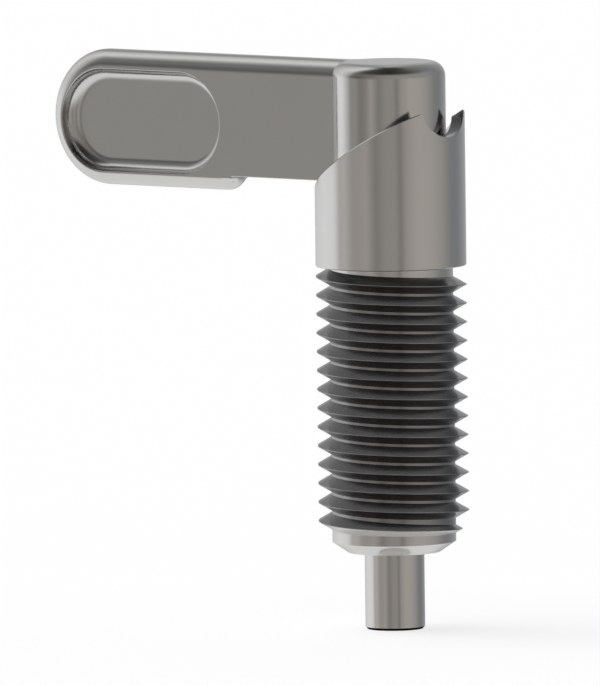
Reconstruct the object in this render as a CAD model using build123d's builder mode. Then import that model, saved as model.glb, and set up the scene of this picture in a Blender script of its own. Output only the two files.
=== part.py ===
from build123d import *
from math import hypot, radians, sqrt, tan
import os

# A cam-action indexing plunger, all stainless steel.  The origin is on the axis where
# the mounting thread meets the underside of the cam sleeve: +Z points up to the lever,
# the lever's arm points along -X at rest, its thumb recess faces -Y, and the parking
# notch of the cam sleeve is on the +X side.  Lengths are in millimetres and angles in
# degrees.

# --- Guide body: mounting thread and nose -------------------------------------------
thread_diameter = 12.0
thread_pitch = 1.5
thread_flank_tilt = 30.0
thread_crest_width = 0.06
thread_core_diameter = 9.86
thread_root_sink = 0.15
thread_reach = 21.8
first_crest_depth = 0.8
first_crest_angle = 218.0
thread_lead_in = 68.0
thread_turns = 13.9
nose_length = 22.9
nose_bevel_width = 1.2
nose_bevel_height = 0.85

# --- Guide body: cam sleeve ---------------------------------------------------------
sleeve_diameter = 12.0
sleeve_bore_diameter = 10.0
sleeve_floor = 3.0
cam_height_at_axis = 9.28
cam_slope = 31.2
cam_edge_break = 0.1
notch_radius = 2.85
notch_centre_height = 13.3

# --- Guide body: inside -------------------------------------------------------------
spring_bore_diameter = 7.4
nose_wall = 2.4

# --- Plunger pin --------------------------------------------------------------------
pin_diameter = 4.76
pin_reach = 6.1
pin_edge_break = 0.12
collar_thickness = 2.0
shank_diameter = 4.0
shank_top = 12.5
shank_edge_break = 0.3

# --- Compression spring and its retainer --------------------------------------------
retainer_height = 3.0
retainer_edge_break = 0.3
wire_diameter = 0.7
spring_mean_diameter = 5.7
spring_turns = 9.0

# --- Lever --------------------------------------------------------------------------
lever_top = 16.28
lever_edge_radius = 1.0
hub_diameter = 9.0
hub_bottom_break = 0.3
hub_bore_roof = 13.0
arm_thickness = 2.6
arm_height = 9.75
arm_root_radius = 0.5
paddle_height = 10.88
paddle_reach = 33.3
lip_start = 14.85
lip_end_radius = 1.3
recess_radius = 4.13
recess_start = 16.05
recess_drop = 0.1
recess_depth = 1.25
recess_floor_radius = 1.05
recess_rim_radius = 0.1

# --- Lever dowel --------------------------------------------------------------------
dowel_diameter = 1.5
dowel_height = 5.4
dowel_stand_out = 0.15
dowel_recess = 0.05

# --- Clearances ---------------------------------------------------------------------
pin_clearance = 0.03
retainer_clearance = 0.05
hub_bore_clearance = 0.03
collar_clearance = 0.1
hub_floor_gap = 0.5
groove_clearance = 0.05

# --- How near an edge must lie to be picked for a fillet or a chamfer -----------------
pick_slack = 0.01

# --- Sizes that follow from the ones above ------------------------------------------
crest_radius = thread_diameter / 2
core_radius = thread_core_diameter / 2
sleeve_radius = sleeve_diameter / 2
spring_bore_radius = spring_bore_diameter / 2
pin_radius = pin_diameter / 2
shank_radius = shank_diameter / 2
collar_bottom = nose_wall - nose_length
collar_top = collar_bottom + collar_thickness
retainer_bottom = sleeve_floor - retainer_height
hub_radius = hub_diameter / 2
hub_bottom = sleeve_floor + hub_floor_gap
arm_face = arm_thickness / 2
arm_bottom = lever_top - arm_height
dowel_radius = dowel_diameter / 2

os.makedirs("parts", exist_ok=True)


# ===================== Guide body ====================================================
# One turned piece.  The ridge of the left-hand thread is a triangle carried along a
# helix, with both its ends on the far side; a bevel trims its last turn at the nose.
ridge_foot_radius = core_radius - thread_root_sink
ridge_half_foot = thread_crest_width / 2 + (crest_radius - ridge_foot_radius) * tan(
    radians(thread_flank_tilt)
)
ridge_height = thread_turns * thread_pitch
ridge_top = thread_pitch * thread_lead_in / 360 - first_crest_depth
ridge_end_angle = first_crest_angle - thread_lead_in + 360 * thread_turns

with BuildPart() as thread_ridge:
    with BuildLine() as ridge_path:
        Helix(thread_pitch, ridge_height, crest_radius, lefthand=True)
    with BuildSketch(Plane.XZ):
        Polygon(
            (crest_radius, thread_crest_width / 2),
            (crest_radius, -thread_crest_width / 2),
            (ridge_foot_radius, -ridge_half_foot),
            (ridge_foot_radius, ridge_half_foot),
            align=None,
        )
    sweep(path=ridge_path.wires()[0], is_frenet=True)

with BuildPart() as guide_body:
    with Locations(
        Location((0, 0, ridge_top - ridge_height), (0, 0, ridge_end_angle % 360))
    ):
        add(thread_ridge.part)
    # The bevel: a 45 degree cone that leaves the core where the thread ends.
    with BuildSketch(Plane.XZ):
        with Locations((core_radius, -thread_reach)):
            Polygon(
                (0, 0),
                (nose_length, nose_length),
                (nose_length, -nose_length),
                (0, -nose_length),
                align=None,
            )
    revolve(axis=Axis.Z, mode=Mode.SUBTRACT)
    with BuildSketch(Plane.XZ):
        Polygon(
            (0, -nose_length),
            (core_radius - nose_bevel_width, -nose_length),
            (core_radius, nose_bevel_height - nose_length),
            (core_radius, 0),
            (sleeve_radius, 0),
            (sleeve_radius, notch_centre_height),
            (0, notch_centre_height),
            align=None,
        )
    revolve(axis=Axis.Z)
    # The cam: one oblique cut, with the parking notch milled across its high side.
    split(
        bisect_by=Plane((0, 0, cam_height_at_axis)).rotated((0, -cam_slope, 0)),
        keep=Keep.BOTTOM,
    )
    with BuildSketch(Plane.YZ):
        with Locations((0, notch_centre_height)):
            Circle(notch_radius)
    extrude(amount=sleeve_diameter, mode=Mode.SUBTRACT)
    # Bores for the lever's hub, the spring and the plunger pin.
    with BuildSketch(Plane.XY.offset(sleeve_floor)):
        Circle(sleeve_bore_diameter / 2)
    extrude(until=Until.LAST, mode=Mode.SUBTRACT)
    with BuildSketch(Plane.XY.offset(collar_bottom)):
        Circle(spring_bore_radius)
    extrude(amount=sleeve_floor - collar_bottom, mode=Mode.SUBTRACT)
    with BuildSketch(Plane.XY.offset(-nose_length)):
        Circle(pin_radius + pin_clearance)
    extrude(amount=nose_wall, mode=Mode.SUBTRACT)
    cam_edges = [
        edge
        for edge in guide_body.edges()
        if edge.center().Z > sleeve_floor
        and all(
            abs(hypot((edge @ where).X, (edge @ where).Y) - sleeve_radius) < pick_slack
            for where in (0.0, 0.3, 0.7, 1.0)
        )
        and edge.geom_type != GeomType.LINE
    ]
    chamfer(cam_edges, cam_edge_break)
guide_body.part.label = "guide_body"


# ===================== Plunger pin ===================================================
# One turned piece: the locating tip, the collar that the spring pushes on, and the
# shank that carries the lever, with a groove for the lever's dowel.
dowel_offset = shank_radius + dowel_stand_out
groove_radius = dowel_offset - dowel_radius - groove_clearance
groove_half_width = dowel_radius + groove_clearance
tip_bottom = -nose_length - pin_reach

with BuildPart() as plunger_pin:
    with BuildSketch(Plane.XZ):
        Polygon(
            (0, tip_bottom),
            (pin_radius - pin_edge_break, tip_bottom),
            (pin_radius, tip_bottom + pin_edge_break),
            (pin_radius, collar_bottom),
            (spring_bore_radius - collar_clearance, collar_bottom),
            (spring_bore_radius - collar_clearance, collar_top),
            (shank_radius, collar_top),
            (shank_radius, dowel_height - groove_half_width),
            (groove_radius, dowel_height - groove_half_width),
            (groove_radius, dowel_height + groove_half_width),
            (shank_radius, dowel_height + groove_half_width),
            (shank_radius, shank_top - shank_edge_break),
            (shank_radius - shank_edge_break, shank_top),
            (0, shank_top),
            align=None,
        )
    revolve(axis=Axis.Z)
plunger_pin.part.label = "plunger_pin"


# ===================== Spring retainer ===============================================
# A bush pressed into the mouth of the spring bore, flush with the sleeve's floor.
with BuildPart() as spring_retainer:
    with BuildSketch(Plane.XZ):
        Polygon(
            (shank_radius + retainer_clearance, retainer_bottom),
            (spring_bore_radius - retainer_edge_break, retainer_bottom),
            (spring_bore_radius, retainer_bottom + retainer_edge_break),
            (spring_bore_radius, sleeve_floor),
            (shank_radius + retainer_clearance, sleeve_floor),
            align=None,
        )
    revolve(axis=Axis.Z)
spring_retainer.part.label = "spring_retainer"


# ===================== Compression spring ============================================
# Round wire wound between the pin's collar and the retainer.
wire_radius = wire_diameter / 2
spring_radius = spring_mean_diameter / 2
spring_height = retainer_bottom - collar_top - wire_diameter

with BuildPart() as compression_spring:
    with BuildLine(Plane.XY.offset(collar_top + wire_radius)) as spring_path:
        Helix(
            spring_height / spring_turns,
            spring_height,
            spring_radius,
            center=(0, 0, 0),
        )
    with BuildSketch(Plane(spring_path.line @ 0, z_dir=spring_path.line % 0)):
        Circle(wire_radius)
    sweep(path=spring_path.wires()[0], is_frenet=True)
compression_spring.part.label = "compression_spring"


# ===================== Lever =========================================================
# One casting: the hub, the flat arm and the thumb paddle with its dished recess.  The
# paddle hangs below the arm by a lip, whose end is rounded.
paddle_bottom = lever_top - paddle_height
paddle_radius = paddle_height / 2
paddle_centre = (paddle_radius - paddle_reach, lever_top - paddle_radius)
lip_arc_drop = lip_end_radius - (arm_bottom - paddle_bottom)
lip_arc_width = sqrt(lip_end_radius**2 - lip_arc_drop**2)
lip_arc_start = -lip_start - lip_arc_width

with BuildPart() as cam_lever:
    with BuildSketch(Plane.XZ.offset(arm_face)):
        with BuildLine():
            Line((0, lever_top), (paddle_centre[0], lever_top))
            RadiusArc(
                (paddle_centre[0], lever_top),
                (paddle_centre[0], paddle_bottom),
                -paddle_radius,
            )
            Line((paddle_centre[0], paddle_bottom), (lip_arc_start, paddle_bottom))
            RadiusArc(
                (lip_arc_start, paddle_bottom), (-lip_start, arm_bottom), -lip_end_radius
            )
            Polyline((-lip_start, arm_bottom), (0, arm_bottom), (0, lever_top))
        make_face()
    extrude(amount=-arm_thickness)
    with BuildSketch(Plane.XZ):
        Polygon(
            (0, lever_top),
            (0, hub_bottom),
            (hub_radius - hub_bottom_break, hub_bottom),
            (hub_radius, hub_bottom + hub_bottom_break),
            (hub_radius, lever_top),
            align=None,
        )
    revolve(axis=Axis.Z)
    # The arm's roots in the hub first, then the whole outline in one run round it.
    root_edges = [
        edge
        for edge in cam_lever.edges().filter_by(Axis.Z)
        if -hub_radius < edge.center().X < -hub_radius / 2
    ]
    fillet(root_edges, arm_root_radius)
    outline_edges = [
        edge
        for edge in cam_lever.edges()
        if edge.center().Z > lever_top - pick_slack
        or (edge.center().X < -lip_start and edge.geom_type == GeomType.CIRCLE)
        or edge.center().Z < paddle_bottom + pick_slack and edge.center().X < -lip_start
    ]
    fillet(outline_edges, lever_edge_radius)
    # The thumb recess, its floor swept up into the wall.
    recess_far = paddle_centre[0]
    recess_near = -recess_start - recess_radius
    recess_centre = paddle_centre[1] - recess_drop
    with BuildSketch(Plane.XZ.offset(arm_face)):
        with Locations(((recess_far + recess_near) / 2, recess_centre)):
            SlotCenterToCenter(recess_near - recess_far, 2 * recess_radius)
    extrude(amount=-recess_depth, mode=Mode.SUBTRACT)
    recess_edges = cam_lever.edges(Select.LAST).group_by(Axis.Y)
    fillet(recess_edges[-1], recess_floor_radius)
    rim_edges = [
        edge
        for edge in cam_lever.edges()
        if abs(edge.center().Y + arm_face) < pick_slack
        and abs(edge.center().Z - recess_centre) < recess_radius + pick_slack
        and edge.center().X > recess_far - recess_radius - pick_slack
        and edge.center().X < pick_slack - recess_start
    ]
    fillet(rim_edges, recess_rim_radius)
    # The shank's blind bore, and the dowel's hole across it.
    with BuildSketch(Plane.XY.offset(hub_bottom)):
        Circle(shank_radius + hub_bore_clearance)
    extrude(amount=hub_bore_roof - hub_bottom, mode=Mode.SUBTRACT)
    with BuildSketch(Plane.XZ):
        with Locations((dowel_offset, dowel_height)):
            Circle(dowel_radius)
    extrude(amount=hub_diameter, both=True, mode=Mode.SUBTRACT)
cam_lever.part.label = "cam_lever"


# ===================== Lever dowel ===================================================
# A straight dowel pressed into the hub; it runs in the shank's groove, so the lever
# turns on the pin and lifts it.
dowel_half_length = sqrt(hub_radius**2 - (dowel_offset + dowel_radius) ** 2) - dowel_recess

with BuildPart() as lever_dowel:
    with BuildSketch(Plane.XZ):
        with Locations((dowel_offset, dowel_height)):
            Circle(dowel_radius)
    extrude(amount=dowel_half_length, both=True)
lever_dowel.part.label = "lever_dowel"


for piece in (
    guide_body,
    plunger_pin,
    spring_retainer,
    compression_spring,
    cam_lever,
    lever_dowel,
):
    export_step(piece.part, f"parts/{piece.part.label}.step")
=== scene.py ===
import bpy
from math import cos, pi, radians, sin, sqrt, tan

import numpy as np
from mathutils import Matrix, Vector


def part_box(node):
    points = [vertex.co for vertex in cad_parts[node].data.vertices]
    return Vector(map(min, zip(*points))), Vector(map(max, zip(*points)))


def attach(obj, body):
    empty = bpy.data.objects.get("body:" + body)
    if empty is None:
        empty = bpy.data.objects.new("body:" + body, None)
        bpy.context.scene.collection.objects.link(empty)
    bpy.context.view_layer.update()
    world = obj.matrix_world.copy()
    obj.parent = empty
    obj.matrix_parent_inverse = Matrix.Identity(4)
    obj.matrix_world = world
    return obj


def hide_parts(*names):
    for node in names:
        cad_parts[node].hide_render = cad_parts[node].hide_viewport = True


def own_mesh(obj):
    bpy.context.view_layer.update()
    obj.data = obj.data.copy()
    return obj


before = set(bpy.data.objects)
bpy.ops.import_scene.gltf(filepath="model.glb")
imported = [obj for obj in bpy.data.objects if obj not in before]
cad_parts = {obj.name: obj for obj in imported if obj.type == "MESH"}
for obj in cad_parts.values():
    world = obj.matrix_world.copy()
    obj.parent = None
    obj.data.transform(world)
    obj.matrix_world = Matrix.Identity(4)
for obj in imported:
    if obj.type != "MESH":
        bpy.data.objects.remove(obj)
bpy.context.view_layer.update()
mm = 0.001


# ===================== Guide body ====================================================
# The one turned piece that everything else sits in: mounting thread, nose and cam
# sleeve.  Its top is cut obliquely as a cam, with a parking notch milled across the
# high side, and its left-hand thread is a ridge that runs down the core.
def revolve_rows(radius, height, angle):
    """A grid of points: each row has a radius, a height and the angle of each column
    round the vertical axis, so x = r cos a, y = r sin a, z = h."""
    return np.stack([radius * np.cos(angle), radius * np.sin(angle), height], axis=-1)


def grid_faces(rows, columns, round_rows=False, round_columns=True, first=0):
    """The quads of a grid numbered row by row: each joins a point, its right-hand
    neighbour and the two below them.  A round direction joins its end to its start."""
    row = np.arange(rows if round_rows else rows - 1)[:, None]
    column = np.arange(columns if round_columns else columns - 1)[None, :]
    below = (row + 1) % rows
    right = (column + 1) % columns
    quads = [row * columns + column, row * columns + right]
    quads += [below * columns + right, below * columns + column]
    return np.stack(quads, axis=-1).reshape(-1, 4) + first


def capped(grid, turned_over=False):
    """A tube of rings as a closed shell: the grid's quads and one face across each end.
    Rings that run the other way round are turned over, so that the faces point out."""
    ring = np.arange(grid.shape[1])
    last_ring = (grid.shape[0] - 1) * grid.shape[1] + ring
    quads = grid_faces(*grid.shape[:2])
    if turned_over:
        return grid, [quads[:, ::-1], [ring], [last_ring[::-1]]]
    return grid, [quads, [ring[::-1]], [last_ring]]


def make_piece(name, shells, materials, body, finishes=None, sharp_over=28.0):
    """One object from several shells, each (points, list of face arrays).  Its faces are
    smooth, apart from edges that turn by more than sharp_over degrees.  finishes holds
    each shell's number of the material, one for the shell or one for each face."""
    points, faces, finish, first = [], [], [], 0
    for number, (shell_points, shell_faces) in enumerate(shells):
        points.append(shell_points.reshape(-1, 3))
        count = 0
        for group in shell_faces:
            faces += (np.asarray(group) + first).tolist()
            count += len(group)
        chosen = finishes[number] if finishes else 0
        finish.append(np.broadcast_to(chosen, count))
        first += len(points[-1])
    mesh = bpy.data.meshes.new(name)
    mesh.from_pydata(np.concatenate(points), [], faces)
    for material in materials:
        mesh.materials.append(material)
    mesh.polygons.foreach_set("material_index", np.concatenate(finish).astype(np.int32))
    mesh.update()
    mesh.shade_smooth()
    mesh.set_sharp_from_angle(angle=radians(sharp_over))
    piece = bpy.data.objects.new(name, mesh)
    bpy.context.scene.collection.objects.link(piece)
    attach(piece, body)
    return piece


def metal(name, colour, roughness, grain, grain_depth, stretch, flat_painted_shade=1.0):
    """Bare steel: its reflection is dulled unevenly by a fine grain, stretched along the
    marks that the tool or the blasting left, and by faint clouds from handling.  Flats
    that face along the y axis get a darker base colour, scaled by the last argument:
    painted shade, standing in for the darker reflection that those flats show."""
    cloud_scale, tint_swing, dull_swing = 140.0, 0.04, 0.03
    flat_within = radians(20.0)
    material = bpy.data.materials.new(name)
    material.use_nodes = True
    nodes, links = material.node_tree.nodes, material.node_tree.links
    shader = nodes["Principled BSDF"]
    shader.inputs["Metallic"].default_value = 1.0
    place = nodes.new("ShaderNodeTexCoord")
    marks = nodes.new("ShaderNodeMapping")
    marks.inputs["Scale"].default_value = stretch
    links.new(place.outputs["Object"], marks.inputs["Vector"])
    fine = nodes.new("ShaderNodeTexNoise")
    fine.inputs["Scale"].default_value = grain
    fine.inputs["Detail"].default_value = 4.0
    links.new(marks.outputs["Vector"], fine.inputs["Vector"])
    clouds = nodes.new("ShaderNodeTexNoise")
    clouds.inputs["Scale"].default_value = cloud_scale
    clouds.inputs["Detail"].default_value = 3.0
    links.new(place.outputs["Object"], clouds.inputs["Vector"])
    tint = nodes.new("ShaderNodeMix")
    tint.data_type = "RGBA"
    tint.inputs["A"].default_value = (*[(1 - tint_swing) * c for c in colour], 1)
    tint.inputs["B"].default_value = (*[(1 + tint_swing) * c for c in colour], 1)
    links.new(clouds.outputs["Fac"], tint.inputs["Factor"])
    # Painted shade: flats facing along y get their base colour scaled down, for the darker
    # reflection they show.
    if flat_painted_shade < 1:
        facing = nodes.new("ShaderNodeSeparateXYZ")
        links.new(place.outputs["Normal"], facing.inputs["Vector"])
        size = nodes.new("ShaderNodeMath")
        size.operation = "ABSOLUTE"
        links.new(facing.outputs["Y"], size.inputs[0])
        shade = nodes.new("ShaderNodeMapRange")
        shade.interpolation_type = "SMOOTHSTEP"
        shade.inputs["From Min"].default_value = cos(flat_within)
        shade.inputs["To Min"].default_value = 1.0
        shade.inputs["To Max"].default_value = flat_painted_shade
        links.new(size.outputs["Value"], shade.inputs["Value"])
        flat_shaded_colour = nodes.new("ShaderNodeVectorMath")
        flat_shaded_colour.operation = "SCALE"
        links.new(tint.outputs["Result"], flat_shaded_colour.inputs[0])
        links.new(shade.outputs["Result"], flat_shaded_colour.inputs["Scale"])
        links.new(flat_shaded_colour.outputs["Vector"], shader.inputs["Base Color"])
    else:
        links.new(tint.outputs["Result"], shader.inputs["Base Color"])
    dull = nodes.new("ShaderNodeMapRange")
    dull.inputs["To Min"].default_value = roughness - dull_swing
    dull.inputs["To Max"].default_value = roughness + dull_swing
    links.new(fine.outputs["Fac"], dull.inputs["Value"])
    links.new(dull.outputs["Result"], shader.inputs["Roughness"])
    bump = nodes.new("ShaderNodeBump")
    bump.inputs["Strength"].default_value = 1.0
    bump.inputs["Distance"].default_value = grain_depth
    links.new(fine.outputs["Fac"], bump.inputs["Height"])
    links.new(bump.outputs["Normal"], shader.inputs["Normal"])
    return material


turned_steel = metal(
    "turned_steel", (0.6, 0.596, 0.588), 0.16, 900.0, 0.0000008, (1.0, 1.0, 14.0)
)
# A copy of the turned steel with a dark base: painted shade for the shade down in the
# thread's grooves.
shaded_thread_steel = metal(
    "shaded_thread_steel", (0.29, 0.29, 0.292), 0.18, 900.0, 0.0000004, (1.0, 1.0, 14.0)
)

sleeve_radius = 6.0 * mm
sleeve_bore = 5.0 * mm
sleeve_floor = 3.0 * mm
foot_break = 0.06 * mm
cam_break = 0.1 * mm
cam_axis_height = 9.28 * mm
cam_rise = tan(radians(31.2))
notch_radius = 2.85 * mm
notch_height = 13.3 * mm
core_radius = 4.93 * mm
nose_end = -22.85 * mm
nose_bevel = (1.25 * mm, 0.85 * mm)
core_thread = (-20.7 * mm, -1.3 * mm)
core_thread_row = 7
spring_bore = 3.7 * mm
nose_ledge = -20.5 * mm
pin_bore = 2.41 * mm
support = 0.02 * mm

# Where the notch breaks out of the oblique cut: half its width at the cam's surface.
notch_half_width = 2.823 * mm


def cam_height(x, y):
    """The sleeve's top: the oblique plane, or the notch's round floor where the notch is
    milled into the high side and lies lower."""
    plane = cam_axis_height + x * cam_rise
    across = np.clip(notch_radius**2 - y**2, 0, None)
    floor = np.where(
        (x > 0) & (np.abs(y) < notch_half_width), notch_height - np.sqrt(across), 1.0
    )
    return np.minimum(plane, floor)


def sleeve_angles(radius, columns_notch=48, columns_rest=336):
    """Column angles at a radius, shifted so that two columns follow the notch's edges,
    which lie at a fixed distance from the middle and not at a fixed angle."""
    edge = np.arcsin(notch_half_width / max(radius, sleeve_bore))
    notch = np.linspace(-edge, edge, columns_notch, endpoint=False)
    rest = np.linspace(edge, 2 * pi - edge, columns_rest, endpoint=False)
    return np.concatenate([notch, rest])


def below_cam(radius, share, drop=0.0):
    """A row on the sleeve's wall, at a share of the way from the foot to the cam."""
    angle = sleeve_angles(radius)
    top = cam_height(radius * np.cos(angle), radius * np.sin(angle)) - drop
    return revolve_rows(radius, foot_break + (top - foot_break) * share, angle)


def level_row(radius, height):
    angle = sleeve_angles(radius)
    return revolve_rows(radius, np.full_like(angle, height), angle)


body_rows = [
    level_row(pin_bore, nose_end + support),
    level_row(pin_bore + support, nose_end),
    level_row(core_radius - nose_bevel[0] - support, nose_end),
    level_row(core_radius - nose_bevel[0], nose_end),
    level_row(core_radius - support, nose_end + nose_bevel[1] - support),
    level_row(core_radius, nose_end + nose_bevel[1]),
    level_row(core_radius, nose_end + nose_bevel[1] + support),
    level_row(core_radius, core_thread[0]),
    level_row(core_radius, core_thread[1]),
    level_row(core_radius, 0.0),
    level_row(core_radius + support, 0.0),
    level_row(sleeve_radius - foot_break, 0.0),
    level_row(sleeve_radius, foot_break),
]
body_rows += [
    below_cam(sleeve_radius, share, cam_break) for share in (0.01, 0.3, 0.6, 0.9, 1.0)
]
body_rows += [
    below_cam(radius, 1.0)
    for radius in (sleeve_radius - cam_break, sleeve_radius - 0.5 * mm, sleeve_bore)
]
body_rows += [
    below_cam(sleeve_bore, 0.8),
    level_row(sleeve_bore, sleeve_floor),
    level_row(spring_bore, sleeve_floor),
    level_row(spring_bore, nose_ledge),
    level_row(pin_bore, nose_ledge),
]
body_grid = np.stack(body_rows)
body_shell = (body_grid, [grid_faces(*body_grid.shape[:2], round_rows=True)])

# The thread's ridge: a narrow-crested triangle, its foot sunk in the core.
thread_pitch = 1.5 * mm
thread_turns = 14.2
thread_start = 150.0
thread_top = -0.53 * mm
crest_radius = 6.0 * mm
crest_half_width = 0.03 * mm
foot_radius = 4.78 * mm
flank_tilt = tan(radians(30.0))
run_in = radians(25.0)
run_out = radians(330.0)


def thread_ridge(steps_per_turn=160):
    """The ridge's section carried down a left-hand helix: the turn angle grows as the
    height falls by the pitch each turn.  At both ends it shrinks into the core, fast at
    the top and over nearly a turn at the nose."""
    turn = np.linspace(0, thread_turns * 2 * pi, int(thread_turns * steps_per_turn))
    fall = thread_top - thread_pitch * turn / (2 * pi)
    height = np.linspace(foot_radius, crest_radius, 4)
    half = crest_half_width + (crest_radius - height) * flank_tilt
    radius = np.concatenate([height, height[::-1]])
    offset = np.concatenate([half, -half[::-1]])
    stand = np.minimum(turn / run_in, (turn[-1] - turn) / run_out)
    stand = np.clip(stand, 0.02, 1.0)[:, None]
    z = fall[:, None] + offset[None, :] * stand
    r = foot_radius + (radius[None, :] - foot_radius) * stand
    return revolve_rows(r, z, radians(thread_start) + turn[:, None])


ridge_grid = thread_ridge()

# The thread and the core between its turns are painted dark: painted shade for the shade
# down in the thread's grooves.  The nose and the last flank above it keep the bright turned
# steel.
ridge_turns, ridge_columns = ridge_grid.shape[0] - 1, ridge_grid.shape[1]
ridge_painted_shade = np.ones((ridge_turns, ridge_columns), dtype=int)
unshaded_from = int(ridge_turns * (1 - 1.12 / thread_turns))
ridge_painted_shade[unshaded_from:, ridge_columns // 2 :] = 0
ridge_shading = np.concatenate([ridge_painted_shade.ravel(), [1, 0]])
core_painted_shade = np.zeros(body_grid.shape[:2], dtype=int)
core_painted_shade[core_thread_row] = 1
guide_body = make_piece(
    "guide_body_turned",
    [body_shell, capped(ridge_grid)],
    [turned_steel, shaded_thread_steel],
    "body",
    finishes=[core_painted_shade.ravel(), ridge_shading],
)
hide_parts("guide_body")


# ===================== Spring and retainer ===========================================
# Inside the bore a coil of drawn stainless wire pushes on the pin's collar and closes up
# as the pin rises.  A bush pressed into the sleeve's floor holds its other end.
spring_wire = metal(
    "spring_wire", (0.54, 0.54, 0.53), 0.22, 1500.0, 0.0000005, (1.0, 1.0, 1.0)
)
wire_radius = 0.35 * mm
coil_radius = 2.85 * mm
coil_turns = 9.0
coil_seats = (-18.5 * mm, 0.0)


def coiled_wire(centre_radius, wire, low, high, turns, around=16, along_turn=48):
    """A round wire carried along a helix: its centre line turns at a steady rate while it
    rises from low to high, and each section is a circle square to that line, made of the
    direction straight out from the axis and the one along the slope's upper side."""
    rows = int(turns * along_turn) + 1
    turned = np.linspace(0, 2 * pi * turns, rows)[:, None]
    centre = revolve_rows(centre_radius, np.linspace(low, high, rows)[:, None], turned)
    pitch = (high - low) / turns
    slope = np.arctan2(pitch, 2 * pi * centre_radius)
    out = revolve_rows(np.ones_like(turned), 0 * turned, turned)
    ahead = turned + pi / 2
    over = revolve_rows(-np.sin(slope) * np.ones_like(turned), 0 * turned, ahead)
    over[..., 2] = np.cos(slope)
    round_wire = np.linspace(0, 2 * pi, around, endpoint=False)[None, :, None]
    return centre + wire * (np.cos(round_wire) * out + np.sin(round_wire) * over)


coil = coiled_wire(
    coil_radius,
    wire_radius,
    coil_seats[0] + wire_radius,
    coil_seats[1] - wire_radius,
    coil_turns,
)
spring = make_piece(
    "compression_spring_coil",
    [capped(coil, turned_over=True)],
    [spring_wire],
    "body",
)
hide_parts("compression_spring")
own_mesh(spring)
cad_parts["spring_retainer"].data.materials.clear()
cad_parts["spring_retainer"].data.materials.append(turned_steel)


# ===================== Plunger pin ===================================================
# The locating pin, turned and then ground: its tip stands out of the nose, its collar
# takes the spring, and its shank carries the lever on a dowel that runs in a groove.
ground_steel = metal(
    "ground_steel", (0.6, 0.596, 0.588), 0.15, 1200.0, 0.0000006, (1.0, 1.0, 10.0)
)
pin_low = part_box("plunger_pin")[0][2]
pin_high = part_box("plunger_pin")[1][2]
tip_radius = 2.38 * mm
tip_break = 0.2 * mm
collar_radius = 3.6 * mm
collar_low = -20.5 * mm
collar_high = -18.5 * mm
shank_radius = 2.0 * mm
shank_break = 0.3 * mm
groove_radius = 1.35 * mm
groove_low = 4.6 * mm
groove_high = 6.2 * mm


def lathe(profile, columns=256):
    """A closed surface of revolution from (radius, height) pairs that start and end on
    the axis.  A long run gets a close row at each end, so that it stays straight."""
    corners = np.array(profile)
    run = corners[1:] - corners[:-1]
    length = np.linalg.norm(run, axis=1, keepdims=True)
    close = np.where(length > 8 * support, support, 0.0) * run / length
    rows = np.stack([corners[:-1], corners[:-1] + close, corners[1:] - close], axis=1)
    rows = np.concatenate([rows.reshape(-1, 2), corners[-1:]])
    fresh = np.linalg.norm(rows[1:] - rows[:-1], axis=1) > 0.1 * support
    rows = rows[np.concatenate([[True], fresh])][1:-1]
    angle = np.linspace(0, 2 * pi, columns, endpoint=False)
    return revolve_rows(rows[:, :1], rows[:, 1:] + 0 * angle, angle[None, :])


pin_profile = [
    (0, pin_low),
    (tip_radius - tip_break, pin_low),
    (tip_radius, pin_low + tip_break),
    (tip_radius, collar_low),
    (collar_radius, collar_low),
    (collar_radius, collar_high),
    (shank_radius, collar_high),
    (shank_radius, groove_low),
    (groove_radius, groove_low),
    (groove_radius, groove_high),
    (shank_radius, groove_high),
    (shank_radius, pin_high - shank_break),
    (shank_radius - shank_break, pin_high),
    (0, pin_high),
]
plunger_pin = make_piece(
    "plunger_pin_ground",
    [capped(lathe(pin_profile))],
    [ground_steel],
    "plunger",
)
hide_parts("plunger_pin")


# ===================== Cam lever =====================================================
# One stainless casting, blasted smooth: a round hub, a flat arm and a thumb paddle with
# a dished recess.  The paddle hangs below the arm by a lip with a rounded end.
# The last number darkens the lever's flat faces: painted shade for their darker reflection.
cast_steel = metal(
    "cast_steel", (0.6, 0.596, 0.586), 0.16, 2200.0, 0.0000006, (1.0, 1.0, 1.0), 0.64
)
lever_low, lever_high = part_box("cam_lever")
lever_top = lever_high[2]
arm_half = 1.3 * mm
arm_bottom = lever_top - 9.75 * mm
paddle_radius = 5.44 * mm
paddle_bottom = lever_top - 2 * paddle_radius
paddle_x = lever_low[0] + paddle_radius
paddle_z = lever_top - paddle_radius
lip_start = -14.85 * mm
lip_radius = 1.3 * mm
recess_radius = 4.1 * mm
recess_ends = (paddle_x, -20.18 * mm)
recess_z = paddle_z - 0.2 * mm
recess_depth = 1.25 * mm
recess_floor_radius = 1.08 * mm
recess_rim = 0.07 * mm
rim_flat = 0.04 * mm
hub_radius = 4.5 * mm
hub_rounding = 1.2 * mm
hub_low = 3.5 * mm
hub_break = 0.3 * mm
hub_bore = 2.03 * mm
hub_bore_roof = 13.0 * mm
root_radius = 0.2 * mm
root_y = arm_half + root_radius
root_x = -sqrt((hub_radius + root_radius) ** 2 - root_y**2)
face_rounding = 1.5 * mm
under_rounding = 0.12 * mm


def rim_land(angle):
    """The width between the paddle's outline and the recess's rim, on a line through the
    paddle's centre at that angle: the outline's radius less the way to the rim's circle,
    whose centre lies lower."""
    drop = paddle_z - recess_z
    rim = recess_radius + recess_rim
    to_rim = np.sqrt(rim**2 - (drop * np.cos(angle)) ** 2) - drop * np.sin(angle)
    return paddle_radius - to_rim - rim_flat


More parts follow.
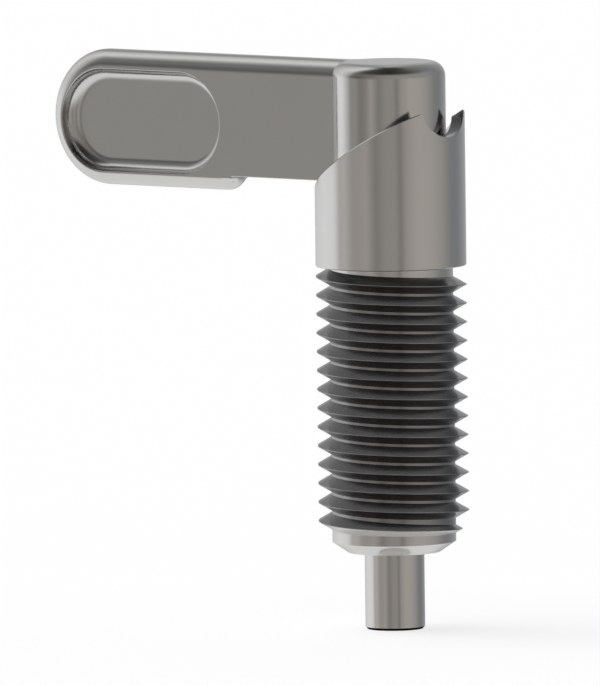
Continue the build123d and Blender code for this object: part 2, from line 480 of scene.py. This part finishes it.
def arm_outline():
    """The arm's and paddle's outline in the x-z plane, from the root of the hub along the
    top, round the paddle and the lip and back along the underside.  Returns the points,
    the inward directions, how far the rounding reaches in from each point, and how
    steeply it meets the face there, from 0 for level to 1."""
    near = np.array([recess_ends[1], recess_z])

    def seen(z, start, end, count):
        """Points on a level line, at even angles as seen from the recess's near end."""
        angle = np.linspace(start, end, count)
        return np.stack([near[0] + (z - near[1]) / np.tan(angle), np.full(count, z)], 1)

    def arc(centre, radius, start, end, count):
        angle = np.radians(np.linspace(start, end, count))
        out = np.stack([np.cos(angle), np.sin(angle)], 1)
        return np.array(centre) + radius * out, -out

    root_angle = np.arctan2(lever_top - near[1], root_x - near[0])
    top = seen(lever_top, root_angle, pi / 2, 40)
    over = np.linspace(near[0], paddle_x, 24)[1:]
    over = np.stack([over, np.full_like(over, lever_top)], 1)
    end, end_in = arc((paddle_x, paddle_z), paddle_radius, 90, 270, 96)
    under = np.linspace(paddle_x, near[0], 24)[1:]
    under = np.stack([under, np.full_like(under, paddle_bottom)], 1)
    lip_drop = lip_radius - (arm_bottom - paddle_bottom)
    lip_centre = (lip_start - sqrt(lip_radius**2 - lip_drop**2), paddle_bottom + lip_radius)
    lip_end_angle = -np.degrees(np.arcsin(lip_drop / lip_radius))
    lip, lip_in = arc(lip_centre, lip_radius, -90, lip_end_angle, 16)
    to_lip = np.linspace(near[0], lip_centre[0], 10)[1:-1]
    to_lip = np.stack([to_lip, np.full_like(to_lip, paddle_bottom)], 1)
    corner_angle = np.radians(np.linspace(180 + lip_end_angle, 90, 8))
    corner = np.tile([lip_start, arm_bottom], (8, 1))
    corner_in = np.stack([np.cos(corner_angle), np.sin(corner_angle)], 1)
    lip_turn = np.radians(np.linspace(0, 90 + lip_end_angle, len(lip)))
    end_angle = np.radians(np.linspace(90, 270, 96))[1:-1]
    end_steep = np.sqrt((1 - np.sin(end_angle)) / 2)
    top_rounding, end_rounding = rim_land(pi / 2), rim_land(3 * pi / 2)
    lip_reach = lip_radius - (lip_radius - end_rounding) / np.cos(lip_turn)
    lip_reach = np.maximum(lip_reach, under_rounding)
    fade = (lip_reach - under_rounding) / (end_rounding - under_rounding)
    first = np.arctan2(arm_bottom - near[1], lip_start - near[0])
    last = np.arctan2(arm_bottom - near[1], root_x - near[0])
    belly = seen(arm_bottom, first, last, 40)[1:]

    clear = np.clip((top[:, 0] - near[0]) / (4.5 * mm), 0, 1)
    top_reach = top_rounding + (face_rounding - top_rounding) * np.sin(clear * pi / 2)
    down = np.array([0.0, -1.0])
    parts = [
        (top, np.tile(down, (len(top), 1)), top_reach, 0),
        (over, np.tile(down, (len(over), 1)), top_rounding, 0),
        (end[1:-1], end_in[1:-1], rim_land(end_angle), end_steep),
        (under, np.tile(-down, (len(under), 1)), end_rounding, 1),
        (to_lip, np.tile(-down, (len(to_lip), 1)), end_rounding, 1),
        (lip, lip_in, lip_reach, fade),
        (corner, corner_in, under_rounding, 0),
        (belly, np.tile(-down, (len(belly), 1)), under_rounding, 0),
    ]
    points = np.concatenate([part[0] for part in parts])
    inward = np.concatenate([part[1] for part in parts])
    reach = np.concatenate([np.broadcast_to(part[2], len(part[0])) for part in parts])
    steep = np.concatenate([np.broadcast_to(part[3], len(part[0])) for part in parts])
    return points, inward, reach, steep


outline, outline_in, outline_reach, outline_steep = arm_outline()
closing = np.linspace(0, 1, 26)[1:-1, None]


def closed_ring(ring):
    """Adds the points that close a ring across the arm's end, inside the hub's root."""
    return np.concatenate([ring, ring[-1] * (1 - closing) + ring[0] * closing])


def plate_ring(share_in, y):
    """A ring of the plate: the outline moved in by a share of its rounding, at one y."""
    flat = closed_ring(outline + outline_in * (outline_reach * share_in)[:, None])
    return np.stack([flat[:, 0], np.full(len(flat), y), flat[:, 1]], 1)


def recess_ring(radius, y):
    """A ring of the recess, a stadium of that radius: each point lies straight out from
    the recess's middle line towards its point on the outline."""
    flat = closed_ring(outline)
    middle_x = np.clip(flat[:, 0], *recess_ends)
    away = flat - np.stack([middle_x, np.full(len(flat), recess_z)], 1)
    away *= radius / np.linalg.norm(away, axis=1, keepdims=True)
    level = np.full(len(flat), y)
    return np.stack([middle_x + away[:, 0], level, recess_z + away[:, 1]], 1)


edge_flat = 0.1 * mm
edge_depth = arm_half - edge_flat
recess_floor = recess_depth - arm_half
back_face_start = 1.04
front_face_start = 1.01
rim_step = 0.01 * mm
floor_step = 0.03 * mm
steepest = radians(28.0)
quarter = np.linspace(0, pi / 2, 19)
rim_quarter = np.linspace(0, pi / 2, 5)
floor_quarter = np.linspace(0, pi / 2, 18)


def front_ring(angle):
    """A ring of the plate's front rounding, a quarter-ellipse from the edge in to the
    face.  Where it meets the face steeply the quarter stops short, and the part that is
    left is stretched to the full reach and depth."""
    last = pi / 2 - steepest * outline_steep
    turn = angle / (pi / 2) * last
    share_in = (1 - np.cos(turn)) / (1 - np.cos(last))
    flat = outline + outline_in * (outline_reach * share_in)[:, None]
    depth = edge_flat + edge_depth * np.sin(turn) / np.sin(last)
    ring = closed_ring(np.concatenate([flat, depth[:, None]], axis=1))
    return np.stack([ring[:, 0], -ring[:, 2], ring[:, 1]], 1)


plate_rows = [plate_ring(back_face_start, arm_half)]
plate_rows += [
    plate_ring(1 - cos(a), edge_flat + edge_depth * sin(a)) for a in quarter[::-1]
]
plate_rows += [front_ring(a) for a in quarter]
plate_rows += [
    plate_ring(front_face_start, -arm_half),
    recess_ring(recess_radius + recess_rim + rim_step, -arm_half),
]
plate_rows += [
    recess_ring(
        recess_radius + recess_rim * (1 - sin(a)),
        -arm_half + recess_rim * (1 - cos(a)),
    )
    for a in rim_quarter
]
plate_rows += [
    recess_ring(
        recess_radius - recess_floor_radius * (1 - cos(a)),
        recess_floor - recess_floor_radius * (1 - sin(a)),
    )
    for a in floor_quarter
]
plate_rows += [
    recess_ring(recess_radius - recess_floor_radius - floor_step, recess_floor),
]
plate_shell = capped(np.stack(plate_rows))

hub_profile = [
    (0, hub_bore_roof),
    (hub_bore, hub_bore_roof),
    (hub_bore, hub_low),
    (hub_radius - hub_break, hub_low),
    (hub_radius, hub_low + hub_break),
]
hub_profile += [
    (
        hub_radius - hub_rounding * (1 - cos(a)),
        lever_top - hub_rounding * (1 - sin(a)),
    )
    for a in np.linspace(0, pi / 2, 16)
]
hub_profile += [(0, lever_top)]


def hub_root(columns=14, rows=16):
    """The root that joins arm and hub: in plan, each side is an arc about a centre beside
    the arm, tangent to its face and to the hub.  Up the arm it is upright, and then it
    leans in by a quarter-round whose reach blends from the arm's to the hub's."""
    lean = np.concatenate([[0.0, 0.0, 0.0], np.linspace(0, pi / 2, rows)])
    hub_side = np.arctan2(root_y, root_x)
    across = np.linspace(0, 1, columns)[None, :]
    reach = (face_rounding * (1 - across) + hub_rounding * across) * np.ones((len(lean), 1))
    depth = edge_depth * (1 - across) + hub_rounding * across
    z = lever_top - reach * (1 - np.sin(lean))[:, None]
    z[0] = arm_bottom
    z[1] = arm_bottom + support
    z[2] -= support
    radius = root_radius + depth * (1 - np.cos(lean))[:, None]
    toward_face = -pi / 2
    toward_hub = hub_side - pi
    turn = toward_face + (toward_hub - toward_face) * across
    x = root_x + radius * np.cos(turn)
    y = root_y + radius * np.sin(turn)
    far_side = np.stack([x, y, z], axis=-1)
    near_side = (far_side * [1, -1, 1])[:, ::-1]
    hub_reach = np.hypot(x[:, -1], y[:, -1])
    hub_angle = np.arctan2(y[:, -1], x[:, -1])
    swing = np.linspace(0, 1, columns)[None, 1:-1]
    inside_angle = hub_angle[:, None] + (2 * pi - 2 * hub_angle)[:, None] * swing
    inside = np.stack(
        [
            hub_reach[:, None] * np.cos(inside_angle),
            hub_reach[:, None] * np.sin(inside_angle),
            z[:, -1:] + 0 * inside_angle,
        ],
        axis=-1,
    )
    return np.concatenate([far_side, inside, near_side], axis=1)


cam_lever = make_piece(
    "cam_lever_cast",
    [plate_shell, capped(lathe(hub_profile)), capped(hub_root(), turned_over=True)],
    [cast_steel],
    "lever",
)
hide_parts("cam_lever")


# ===================== Lever dowel ===================================================
# A straight ground pin, pressed across the hub.  It lies in the shank's groove.
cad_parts["lever_dowel"].data.materials.clear()
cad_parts["lever_dowel"].data.materials.append(ground_steel)


# ===================== Studio ========================================================
# A pale sheet under the pin's end, and a room that is bright behind the left shoulder,
# grey all round and pale below, which the bare metal mirrors.
view_turn = radians(37.4)
view_rise = radians(5.0)
view_roll = 0.0125
view_distance = 2.0
frame_width = 47.706 * mm
sheet_pale = 0.72
# Nearly black, seen only in reflections: a painted contact shadow round the pin's foot.
sheet_painted_shadow = 0.03
sheet_glow = 0.67
pin_shadow = (2.4 * mm, 2.6 * mm)
view_centre = (-7.238 * mm, -6.140 * mm)

floor_mesh = bpy.data.meshes.new("floor")
floor_half = 4.0
floor_corners = np.array([(-1, -1), (1, -1), (1, 1), (-1, 1)]) * floor_half
floor_mesh.from_pydata([(x, y, pin_low) for x, y in floor_corners], [], [(0, 1, 2, 3)])
floor = bpy.data.objects.new("floor", floor_mesh)
bpy.context.scene.collection.objects.link(floor)
sheet = bpy.data.materials.new("pale_sheet")
sheet.use_nodes = True
sheet_nodes, sheet_links = sheet.node_tree.nodes, sheet.node_tree.links
sheet_shader = sheet_nodes["Principled BSDF"]
sheet_shader.inputs["Roughness"].default_value = 1.0
sheet_shader.inputs["Specular IOR Level"].default_value = 0.0
seen_by = sheet_nodes.new("ShaderNodeLightPath")
# Reflections see the sheet nearly black, a painted shadow, while the camera sees it pale.
sheet_colour_and_shadow = sheet_nodes.new("ShaderNodeMapRange")
sheet_colour_and_shadow.inputs["To Min"].default_value = sheet_pale
sheet_colour_and_shadow.inputs["To Max"].default_value = sheet_painted_shadow
sheet_links.new(seen_by.outputs["Is Glossy Ray"], sheet_colour_and_shadow.inputs["Value"])
sheet_links.new(sheet_colour_and_shadow.outputs["Result"], sheet_shader.inputs["Base Color"])
glow_level = sheet_nodes.new("ShaderNodeMath")
glow_level.operation = "MULTIPLY"
glow_level.inputs[1].default_value = sheet_glow
sheet_links.new(seen_by.outputs["Is Camera Ray"], glow_level.inputs[0])
glow = sheet_nodes.new("ShaderNodeEmission")
sheet_links.new(glow_level.outputs["Value"], glow.inputs["Strength"])
lit = sheet_nodes.new("ShaderNodeAddShader")
sheet_links.new(sheet_shader.outputs["BSDF"], lit.inputs[0])
sheet_links.new(glow.outputs["Emission"], lit.inputs[1])
# In the metal the sheet shows only as a dark ring round the pin's foot: a painted shadow,
# standing in for the contact shadow under the pin's edge.  Beyond the ring it lets the
# pale room show through.
sheet_place = sheet_nodes.new("ShaderNodeTexCoord")
from_pin = sheet_nodes.new("ShaderNodeVectorMath")
from_pin.operation = "DISTANCE"
from_pin.inputs[1].default_value = (0.0, 0.0, pin_low)
sheet_links.new(sheet_place.outputs["Object"], from_pin.inputs[0])
beyond = sheet_nodes.new("ShaderNodeMapRange")
beyond.inputs["From Min"].default_value = pin_shadow[0]
beyond.inputs["From Max"].default_value = pin_shadow[1]
sheet_links.new(from_pin.outputs["Value"], beyond.inputs["Value"])
hidden = sheet_nodes.new("ShaderNodeMath")
hidden.operation = "MULTIPLY"
sheet_links.new(seen_by.outputs["Is Glossy Ray"], hidden.inputs[0])
sheet_links.new(beyond.outputs["Result"], hidden.inputs[1])
through = sheet_nodes.new("ShaderNodeBsdfTransparent")
either = sheet_nodes.new("ShaderNodeMixShader")
sheet_links.new(hidden.outputs["Value"], either.inputs["Fac"])
sheet_links.new(lit.outputs["Shader"], either.inputs[1])
sheet_links.new(through.outputs["BSDF"], either.inputs[2])
sheet_links.new(either.outputs["Shader"], sheet_nodes["Material Output"].inputs["Surface"])
floor_mesh.materials.append(sheet)


def ramp(tree, stops):
    """A colour ramp from (place in degrees from -180 to 180, (red, green, blue)) pairs."""
    node = tree.nodes.new("ShaderNodeValToRGB")
    while len(node.color_ramp.elements) < len(stops):
        node.color_ramp.elements.new(1.0)
    for element, (degrees, colour) in zip(node.color_ramp.elements, stops):
        element.position = (degrees + 180) / 360
        element.color = (*colour, 1)
    return node


def grey(level, warmth=0.0):
    return (level * (1 + warmth), level, level * (1 - warmth))


world = bpy.data.worlds.new("studio")
bpy.context.scene.world = world
world.use_nodes = True
tree = world.node_tree
background = tree.nodes["Background"]
direction = tree.nodes.new("ShaderNodeTexCoord")
turned = tree.nodes.new("ShaderNodeVectorRotate")
turned.rotation_type = "Z_AXIS"
turned.inputs["Angle"].default_value = -view_turn
tree.links.new(direction.outputs["Generated"], turned.inputs["Vector"])
axes = tree.nodes.new("ShaderNodeSeparateXYZ")
tree.links.new(turned.outputs["Vector"], axes.inputs["Vector"])


def calculate(operation, *values):
    node = tree.nodes.new("ShaderNodeMath")
    node.operation = operation
    for socket, value in zip(node.inputs, values):
        if isinstance(value, (int, float)):
            socket.default_value = value
        else:
            tree.links.new(value, socket)
    return node.outputs["Value"]


facing = calculate("MULTIPLY", axes.outputs["Y"], -1.0)
round_the_room = calculate("ARCTAN2", axes.outputs["X"], facing)
round_share = calculate("MULTIPLY_ADD", round_the_room, 1 / (2 * pi), 0.5)
up_the_room = calculate("ARCSINE", axes.outputs["Z"])

warm, cool = 0.07, -0.04
walls = ramp(
    tree,
    [
        (-180, grey(0.52)),
        (-160, grey(0.76)),
        (-140, grey(0.92)),
        (-122, grey(1.03, -0.01)),
        (-99, grey(1.0)),
        (-92, grey(0.86)),
        (-86, grey(0.56, 0.03)),
        (-75, grey(0.61, 0.03)),
        (-61, grey(0.41, warm)),
        (-48, grey(0.42, warm)),
        (-38, grey(0.46, warm)),
        (-22, grey(0.27, warm)),
        (-9, grey(0.36, warm)),
        (8, grey(0.37, warm)),
        (16, grey(0.24, warm)),
        (22, grey(0.4, warm)),
        (42, grey(0.5, warm)),
        (62, grey(0.49, warm)),
        (84, grey(0.42, 0.04)),
        (106, grey(0.29, 0.0)),
        (122, grey(0.28, cool)),
        (140, grey(0.36, cool)),
        (180, grey(0.52)),
    ],
)
cornice = ramp(
    tree,
    [
        (-180, grey(0.55)),
        (-168, grey(0.36)),
        (-145, grey(0.7)),
        (-120, grey(0.9)),
        (-98, grey(0.6)),
        (-86, grey(0.24)),
        (-70, grey(0.18)),
        (-40, grey(0.24, warm)),
        (0, grey(0.34, warm)),
        (40, grey(0.36, warm)),
        (85, grey(0.36)),
        (125, grey(0.28, cool)),
        (160, grey(0.4)),
        (180, grey(0.55)),
    ],
)
ceiling = ramp(
    tree,
    [
        (-180, grey(0.56)),
        (-162, grey(0.34)),
        (-142, grey(0.7)),
        (-118, grey(0.92)),
        (-104, grey(0.94)),
        (-92, grey(0.52)),
        (-82, grey(0.2)),
        (-66, grey(0.08)),
        (0, grey(0.03)),
        (50, grey(0.08)),
        (90, grey(0.2)),
        (125, grey(0.27, cool)),
        (155, grey(0.34)),
        (180, grey(0.56)),
    ],
)
for ring in (walls, cornice, ceiling):
    tree.links.new(round_share, ring.inputs["Fac"])
elevation = calculate("MULTIPLY", up_the_room, 180 / pi)


def blend(amount, low, high):
    """One colour below and another above: amount, from 0 to 1, is the second's share."""
    node = tree.nodes.new("ShaderNodeMix")
    node.data_type = "RGBA"
    tree.links.new(amount, node.inputs["Factor"])
    for socket, value in ((node.inputs["A"], low), (node.inputs["B"], high)):
        if isinstance(value, tuple):
            socket.default_value = (*value, 1)
        else:
            tree.links.new(value, socket)
    return node.outputs["Result"]


def rise(start, end):
    """A smooth step in elevation: 0 at start, 1 at end, both in degrees."""
    node = tree.nodes.new("ShaderNodeMapRange")
    node.interpolation_type = "SMOOTHSTEP"
    tree.links.new(elevation, node.inputs["Value"])
    node.inputs["From Min"].default_value = start
    node.inputs["From Max"].default_value = end
    return node.outputs["Result"]


def fall(start, end):
    return calculate("SUBTRACT", 1.0, rise(start, end))


room = blend(rise(0.0, 12.0), walls.outputs["Color"], cornice.outputs["Color"])
room = blend(rise(28.0, 47.0), room, ceiling.outputs["Color"])
room = blend(rise(62.0, 84.0), room, grey(0.05))
room = blend(fall(-46.0, -14.0), room, grey(0.96))
camera_ray = tree.nodes.new("ShaderNodeLightPath")
shown = blend(camera_ray.outputs["Is Camera Ray"], room, (1.0, 1.0, 1.0))
tree.links.new(shown, background.inputs["Color"])

lamp_data = bpy.data.lights.new("overhead", "SUN")
lamp_data.energy = 0.45
lamp_data.angle = radians(50.0)
lamp = bpy.data.objects.new("overhead", lamp_data)
bpy.context.scene.collection.objects.link(lamp)
lamp_from = Vector((-0.27, -0.21, 0.94))
lamp.matrix_world = lamp_from.to_track_quat("Z", "Y").to_matrix().to_4x4()
lamp.visible_glossy = False

camera_data = bpy.data.cameras.new("camera")
camera = bpy.data.objects.new("camera", camera_data)
bpy.context.scene.collection.objects.link(camera)
bpy.context.scene.camera = camera
camera_data.sensor_fit = "HORIZONTAL"
camera_data.sensor_width = 36.0
camera_data.lens = camera_data.sensor_width * view_distance / frame_width
camera_data.clip_start = 0.1
camera_data.clip_end = 20.0
across = Vector((cos(view_turn), sin(view_turn), 0))
back = Vector(
    (sin(view_turn) * cos(view_rise), -cos(view_turn) * cos(view_rise), sin(view_rise))
)
upward = back.cross(across)
image_right = across * cos(view_roll) - upward * sin(view_roll)
image_up = across * sin(view_roll) + upward * cos(view_roll)
aim = image_right * view_centre[0] + image_up * view_centre[1]
turn = Matrix((image_right, image_up, back)).transposed().to_4x4()
camera.matrix_world = Matrix.Translation(aim + back * view_distance) @ turn

bpy.context.scene.view_settings.view_transform = "Standard"
